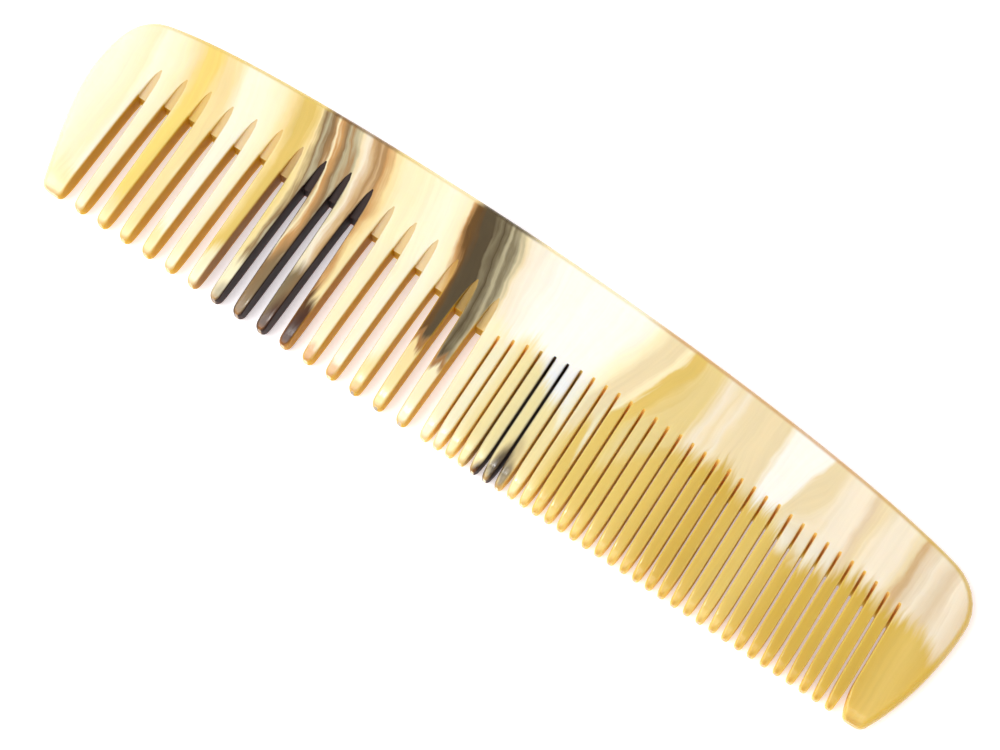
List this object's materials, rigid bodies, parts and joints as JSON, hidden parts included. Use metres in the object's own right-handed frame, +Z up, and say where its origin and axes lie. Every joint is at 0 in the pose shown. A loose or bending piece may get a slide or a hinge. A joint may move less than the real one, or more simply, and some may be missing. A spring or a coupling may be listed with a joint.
{
  "type": "hair comb",
  "caption": "Flat one-piece hair comb of horn, with an arched spine, a coarse row and a fine row of teeth, and a broad end tooth at each side.",
  "frame": {"origin": "centre of the bounding box in X and Y, on the lower flat face, which the comb lies on", "axes": "+X along the comb towards the fine teeth, +Y from the tips of the teeth to the spine, +Z up through the thickness, out of the upper face"},
  "size_m": [0.1806, 0.041, 0.0044],
  "materials": {
    "horn": "polished natural horn, cream to honey, with smoky dark bands"
  },
  "bodies": {
    "root": {"comb": "horn"}
  },
  "joints": []
}
